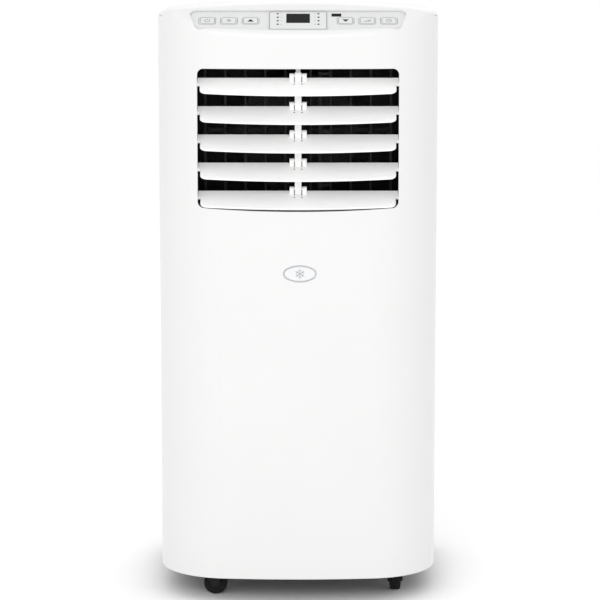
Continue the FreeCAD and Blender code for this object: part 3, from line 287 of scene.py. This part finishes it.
def make_finishes():
    """One material for each material slot of the record."""
    return {
        # the white case's lighter edge colour is a painted highlight along its edges
        "white_plastic": make_finish("white_plastic_finish", (0.745, 0.745, 0.742), 0.006, 0.12,
                                     (0.28, 0.38), 0.0011, 0.000012, (0.95, 0.95, 0.95), coat=0.15,
                                     rounding=0.0012),
        # louvre slats: a whiter copy of the case's white plastic, lightened to offset the shade the slats cast on
        # each other
        "louvre_plastic": make_finish("louvre_plastic_finish", (0.965, 0.965, 0.962), 0.004, 0.05,
                                      (0.36, 0.46), 0.0008, 0.00001, (0.97, 0.97, 0.97)),
        "panel_grey": make_finish("panel_grey_finish", (0.68, 0.685, 0.69), 0.012, 0.05, (0.38, 0.5),
                                  0.0007, 0.000016, (0.5, 0.5, 0.51)),
        # the dark plastic's lighter edge colour is a painted highlight on its edges, such as the vanes' front
        # edges
        "dark_plastic": make_finish("dark_plastic_finish", (0.009, 0.009, 0.010), 0.15, 0.05, (0.45, 0.65),
                                    0.0008, 0.00004, (0.12, 0.12, 0.123), mirror=0.25),
        "smoked_window": make_finish("smoked_window_finish", (0.006, 0.006, 0.007), 0.1, 0.02, (0.12, 0.2),
                                     0.004, 0.000004, (0.02, 0.02, 0.02), mirror=0.1),
        "lamp_lens": make_finish("lamp_lens_finish", (0.06, 0.065, 0.065), 0.06, 0.002, (0.2, 0.3),
                                 0.0006, 0.00001, (0.2, 0.2, 0.2), mirror=0.3),
        "wheel_rubber": make_finish("wheel_rubber_finish", (0.009, 0.009, 0.009), 0.2, 0.01, (0.6, 0.8),
                                    0.0008, 0.00005, (0.04, 0.039, 0.038), mirror=0.2),
        "soft_rubber": make_finish("soft_rubber_finish", (0.02, 0.02, 0.02), 0.15, 0.01, (0.6, 0.75),
                                   0.0006, 0.00003, (0.08, 0.08, 0.08), mirror=0.3),
        "painted_steel": make_finish("painted_steel_finish", (0.015, 0.015, 0.016), 0.15, 0.05, (0.3, 0.5),
                                     0.0014, 0.00006, (0.2, 0.2, 0.2)),
        "bare_steel": make_finish("bare_steel_finish", (0.55, 0.56, 0.57), 0.06, 0.006, (0.22, 0.42),
                                  0.0012, 0.00002, (0.75, 0.75, 0.76), metal=1.0, brushed=(1, 1, 14)),
        "fin_aluminium": make_finish("fin_aluminium_finish", (0.72, 0.73, 0.74), 0.06, 0.03, (0.3, 0.5),
                                     0.002, 0.00003, metal=1.0, lines=(0.0018, "X", 0.0006)),
        "copper_tube": make_finish("copper_tube_finish", (0.66, 0.33, 0.2), 0.16, 0.02, (0.22, 0.45),
                                   0.002, 0.00003, (0.8, 0.5, 0.36), metal=1.0, brushed=(1, 6, 1)),
        "board_green": make_finish("board_green_finish", (0.02, 0.16, 0.07), 0.12, 0.01, (0.25, 0.4),
                                   0.003, 0.00003, (0.3, 0.28, 0.12), coat=0.4),
        "filter_mesh": make_finish("filter_mesh_finish", (0.05, 0.05, 0.055), 0.1, 0.03, (0.5, 0.7),
                                   0.0007, 0.00002, weave=(0.0016, 0.0005)),
        "badge_grey": make_finish("badge_grey_finish", (0.74, 0.75, 0.76), 0.02, 0.01, (0.2, 0.3),
                                  0.0005, 0.00001, (0.9, 0.9, 0.9), coat=0.3),
    }


def dress_nodes(finishes):
    """Give every CAD node the finish of its material slot, and the rear pieces the case's."""
    for row in frame["record"]["subparts"]:
        node = row["node"]
        slot = "white_plastic" if node in REAR_WHITE else row["material_slot"]
        mesh = frame["nodes"][node].data
        mesh.materials.clear()
        mesh.materials.append(finishes[slot])


# ---------------------------------------------------------------- flat marks in relief

def plate(bm, outline, low, high):
    """Solid flat plate with the outline's (u, v) points, from low to high."""
    rings = [[bm.verts.new((u, v, level)) for u, v in outline] for level in (low, high)]
    bm.faces.new(reversed(rings[0]))
    bm.faces.new(rings[1])
    for index in range(len(outline)):
        after = (index + 1) % len(outline)
        bm.faces.new((rings[0][index], rings[0][after], rings[1][after], rings[1][index]))


def ribbon(bm, path, width, low, high, closed=False):
    """Raised line of even width along a path of (u, v) points."""
    points = [Vector(point) for point in path]
    left, right = [], []
    for index, point in enumerate(points):
        steps = []
        if closed or index:
            steps.append((point - points[index - 1]).normalized())
        if closed or index < len(points) - 1:
            steps.append((points[(index + 1) % len(points)] - point).normalized())
        along = sum(steps, Vector((0, 0))).normalized()
        reach = width / 2 / max(0.4, along.dot(steps[0]))
        across = Vector((-along.y, along.x)) * reach
        left.append(point + across)
        right.append(point - across)
    if not closed:
        plate(bm, right + left[::-1], low, high)
        return
    for index in range(len(points)):
        after = (index + 1) % len(points)
        plate(bm, (right[index], right[after], left[after], left[index]), low, high)


def arc(centre, radius, start, end, steps):
    """Points of an arc, angles in degrees."""
    angles = [math.radians(start + (end - start) * step / steps) for step in range(steps + 1)]
    return [(centre[0] + radius * math.cos(a), centre[1] + radius * math.sin(a)) for a in angles]


def rounded(half_u, half_v, radius, steps=6):
    """Rounded rectangle about the origin."""
    corners = ((half_u, half_v, 0), (-half_u, half_v, 90), (-half_u, -half_v, 180), (half_u, -half_v, 270))
    points = []
    for u, v, start in corners:
        centre = (u - math.copysign(radius, u), v - math.copysign(radius, v))
        points += arc(centre, radius, start, start + 90, steps)
    return points


def add_piece(name, body, material, bm, matrix):
    """Make an object of a mesh drawn in millimetres, and let it ride on a body."""
    bmesh.ops.transform(bm, matrix=matrix @ Matrix.Scale(MM, 4), verts=bm.verts)
    bmesh.ops.recalc_face_normals(bm, faces=bm.faces)
    mesh = bpy.data.meshes.new(name)
    bm.to_mesh(mesh)
    bm.free()
    mesh.materials.append(material)
    piece = bpy.data.objects.new(name, mesh)
    bpy.context.scene.collection.objects.link(piece)
    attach(piece, body)
    return piece


SLOPE = Matrix.Translation(PANEL_ORIGIN) @ Matrix.Rotation(math.radians(PANEL_SLOPE), 4, "X")


def panel_box(node):
    """Lowest and highest corner of a node in the control panel's own frame, in millimetres."""
    back = SLOPE.inverted()
    points = [back @ vertex.co / MM for vertex in frame["nodes"][node].data.vertices]
    return (Vector(min(point[axis] for point in points) for axis in range(3)),
            Vector(max(point[axis] for point in points) for axis in range(3)))


def power_icon(bm, high):
    ribbon(bm, arc((0, 0), 2.8, 125, 415, 20), 0.75, 0, high)
    ribbon(bm, [(0, 0.6), (0, 3.6)], 0.75, 0, high)


def mode_icon(bm, high):
    for turn in (30, 90, 150):
        tip = Vector((math.cos(math.radians(turn)), math.sin(math.radians(turn)))) * 3.2
        ribbon(bm, [-tip, tip], 0.65, 0, high)


def arrow_icon(bm, high, side):
    plate(bm, [(-3.7, -2.2 * side), (3.7, -2.2 * side), (0, 2.6 * side)][::side], 0, high)


def speed_icon(bm, high):
    for number in range(4):
        left = -3.3 + 2.2 * number
        ribbon(bm, [(left, -2.6), (left, -1.2 + 1.2 * number)], 1.1, 0, high)


def timer_icon(bm, high):
    ribbon(bm, arc((0, 0), 3.0, 0, 345, 23), 0.65, 0, high, closed=True)
    ribbon(bm, [(0, 2.0), (0, 0), (1.5, 0)], 0.6, 0, high)


def make_key_marks(ink, dark_ink):
    """Printed border and sign on every key."""
    signs = {
        "power": power_icon,
        "mode": mode_icon,
        "up": lambda bm, high: arrow_icon(bm, high, 1),
        "down": lambda bm, high: arrow_icon(bm, high, -1),
        "speed": speed_icon,
        "timer": timer_icon,
    }
    for name, draw_sign in signs.items():
        low, high = panel_box(f"button_{name}")
        # the hidden flange widens the key evenly, so the middle of the box is the cap's middle
        middle = (low + high) / 2
        matrix = SLOPE @ Matrix.Translation(Vector((middle.x, middle.y, high.z - 0.02)) * MM)
        border = bmesh.new()
        ribbon(border, rounded(*KEY_BORDER), 0.6, 0, 0.1, closed=True)
        add_piece(f"key_border_{name}", f"button_{name}", ink, border, matrix)
        sign = bmesh.new()
        draw_sign(sign, 0.1)
        sign_ink = dark_ink if name in ("up", "down") else ink
        add_piece(f"key_sign_{name}", f"button_{name}", sign_ink, sign, matrix)


def make_display(ghost, ink):
    """Unlit segments of the two digits, the printed frame and a tick beside each lamp."""
    low, high = panel_box("display_window")
    middle = (low + high) / 2
    matrix = SLOPE @ Matrix.Translation(Vector((middle.x, middle.y, high.z)) * MM)
    digits = bmesh.new()
    for centre in DIGIT_CENTRES:
        for u, v, upright in SEGMENTS:
            half = (0.6, 2.3) if upright else (2.5, 0.6)
            plate(digits, [(centre + u + a * half[0], v + b * half[1])
                           for a, b in ((-1, -1), (1, -1), (1, 1), (-1, 1))], 0, 0.05)
    add_piece("display_segments", "case", ghost, digits, matrix)
    low, high = panel_box("display_bezel")
    middle = (low + high) / 2
    matrix = SLOPE @ Matrix.Translation(Vector((middle.x, middle.y, high.z - 0.02)) * MM)
    border = bmesh.new()
    half_u, half_v = (high.x - low.x) / 2, (high.y - low.y) / 2
    ribbon(border, rounded(half_u - 1.1, half_v - 1.1, 2.2), 0.8, 0, 0.08, closed=True)
    for side in (-1, 1):
        for number in range(4):
            start = side * TICK_START
            level = LAMP_ROW + LAMP_PITCH * number - middle.y
            ribbon(border, [(start, level), (start + side * TICK_LENGTH, level)], 0.5, 0, 0.08)
    add_piece("display_print", "case", ink, border, matrix)


def make_badge(ink):
    """Raised rim and a plain snow crystal on the badge."""
    low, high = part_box("badge")
    middle = (low + high) / 2
    upright = Matrix.Rotation(math.radians(90), 4, "X")
    matrix = Matrix.Translation((middle.x, low.y + 0.0001, middle.z)) @ upright
    half_u, half_v = (high.x - low.x) / 2 / MM, (high.z - low.z) / 2 / MM
    emblem = bmesh.new()
    oval = [(math.cos(a) * (half_u - 0.8), math.sin(a) * (half_v - 0.8))
            for a in (math.radians(5 * step) for step in range(72))]
    ribbon(emblem, oval, 0.9, 0, 0.35, closed=True)
    for turn in range(0, 360, 60):
        out = Vector((math.cos(math.radians(turn + 30)), math.sin(math.radians(turn + 30))))
        ribbon(emblem, [(0, 0), out * 5.6], 0.7, 0, 0.3)
        for side in (-1, 1):
            angle = math.radians(turn + 30 + side * 55)
            fork = Vector((math.cos(angle), math.sin(angle)))
            ribbon(emblem, [out * 3.2, out * 3.2 + fork * 1.9], 0.6, 0, 0.3)
    add_piece("badge_emblem", "case", ink, emblem, matrix)


def joint_place(name):
    """Anchor point of a joint."""
    return next(Vector(joint["pos_m"]) for joint in frame["joints"] if joint["name"] == name)


def make_slat_dimple_shades(finish):
    """Two small dark discs on every louvre slat beside the link bar: painted shade in the slat's two dimples."""
    tilt = Matrix.Rotation(math.radians(SLAT_TILT), 4, "X")
    for number in range(1, SLAT_COUNT + 1):
        matrix = Matrix.Translation(joint_place(f"slat_{number}_tilt")) @ tilt
        dimple_shades = bmesh.new()
        for side in (-1, 1):
            plate(dimple_shades, arc((side * DIMPLE_SHADE_SPREAD, -0.4), DIMPLE_SHADE_RADIUS, 0, 342, 19), 1.05, 1.16)
        add_piece(f"slat_dimple_shades_{number}", f"slat_{number}", finish, dimple_shades, matrix)


def make_wheel_hubs(finish):
    """Raised rim and spokes on both faces of every caster wheel."""
    for place in CASTERS:
        node = f"caster_wheel_{place}"
        low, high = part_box(node)
        size = high - low
        turn = Matrix.Rotation(math.radians(90), 4, "X" if size.y < size.x else "Y")
        half_width = min(size.x, size.y) / 2 / MM
        hub = bmesh.new()
        for side in (-1, 1):
            face, top = sorted((side * (half_width - 0.05), side * (half_width + 0.25)))
            ribbon(hub, arc((0, 0), HUB_RIM, 0, 345, 23), 1.2, face, top, closed=True)
            for spoke in range(SPOKE_COUNT):
                angle = math.radians(360 / SPOKE_COUNT * spoke)
                out = Vector((math.cos(angle), math.sin(angle)))
                ribbon(hub, [out * 4.2, out * 8.9], 1.3, face, top)
        matrix = Matrix.Translation((low + high) / 2) @ turn
        add_piece(f"wheel_hub_{place}", node, finish, hub, matrix)


make_camera()
make_studio()
FINISHES = make_finishes()
dress_nodes(FINISHES)
# printed marks: keys and display frame, badge, arrows, and the display's unlit segments
GREY_INK = make_finish("grey_ink_finish", (0.26, 0.265, 0.27), 0.05, 0.004, (0.4, 0.5), 0.0006, 0.00001)
PALE_INK = make_finish("pale_ink_finish", (0.48, 0.485, 0.49), 0.05, 0.004, (0.4, 0.5), 0.0006, 0.00001)
DARK_INK = make_finish("dark_ink_finish", (0.01, 0.01, 0.01), 0.05, 0.004, (0.4, 0.5), 0.0006, 0.00001,
                       mirror=0.1)
GHOST = make_finish("ghost_finish", (0.014, 0.014, 0.015), 0.05, 0.004, (0.2, 0.3), 0.0006, 0.00001,
                    mirror=0.1)
make_key_marks(GREY_INK, DARK_INK)
make_display(GHOST, GREY_INK)
make_badge(PALE_INK)
# painted shade: dark discs in the dimples of every slat
make_slat_dimple_shades(FINISHES["dark_plastic"])
make_wheel_hubs(FINISHES["wheel_rubber"])
